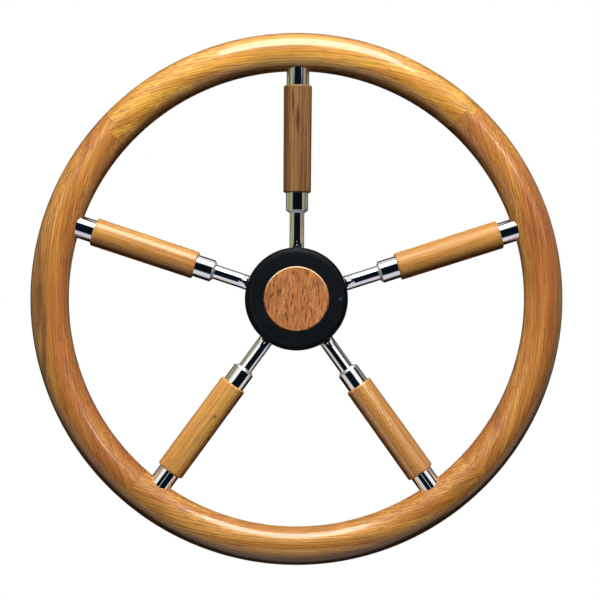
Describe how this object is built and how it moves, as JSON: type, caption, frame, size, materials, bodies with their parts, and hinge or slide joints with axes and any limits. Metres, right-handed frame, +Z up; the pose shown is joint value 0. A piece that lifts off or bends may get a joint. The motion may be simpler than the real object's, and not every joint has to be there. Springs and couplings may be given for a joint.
{
  "type": "boat steering wheel",
  "caption": "Boat steering wheel: varnished teak rim on straight polished steel spokes with turned teak grips, and a tapered hub under a black cap with a teak disc.",
  "frame": {"origin": "centre of the tapered shaft bore's mouth, on the hub's back face", "axes": "+Y along the wheel's axis, out of the bore towards the helm; the face with the cap looks along -Y; +Z up along the first spoke; +X to the right seen from the front"},
  "size_m": [0.45, 0.0682, 0.45],
  "materials": {
    "rim_teak": "gloss varnish",
    "grip_teak": "satin varnish",
    "disc_teak": "satin varnish",
    "polished_steel": "mirror polished stainless steel",
    "hub_steel": "fine turned stainless steel",
    "cap_black": "satin black",
    "ring_rubber": "plain"
  },
  "bodies": {
    "root": {"rim_top": "rim_teak", "rim_left": "rim_teak", "rim_bottom": "rim_teak", "rim_right": "rim_teak", "spoke_1_rod": "polished_steel", "spoke_1_collar": "polished_steel", "spoke_1_grip": "grip_teak", "spoke_1_sleeve": "polished_steel", "spoke_2_rod": "polished_steel", "spoke_2_collar": "polished_steel", "spoke_2_grip": "grip_teak", "spoke_2_sleeve": "polished_steel", "spoke_3_rod": "polished_steel", "spoke_3_collar": "polished_steel", "spoke_3_grip": "grip_teak", "spoke_3_sleeve": "polished_steel", "spoke_4_rod": "polished_steel", "spoke_4_collar": "polished_steel", "spoke_4_grip": "grip_teak", "spoke_4_sleeve": "polished_steel", "spoke_5_rod": "polished_steel", "spoke_5_collar": "polished_steel", "spoke_5_grip": "grip_teak", "spoke_5_sleeve": "polished_steel", "hub": "hub_steel", "hub_cap": "cap_black", "teak_disc": "disc_teak", "cap_ring": "ring_rubber"}
  },
  "joints": []
}
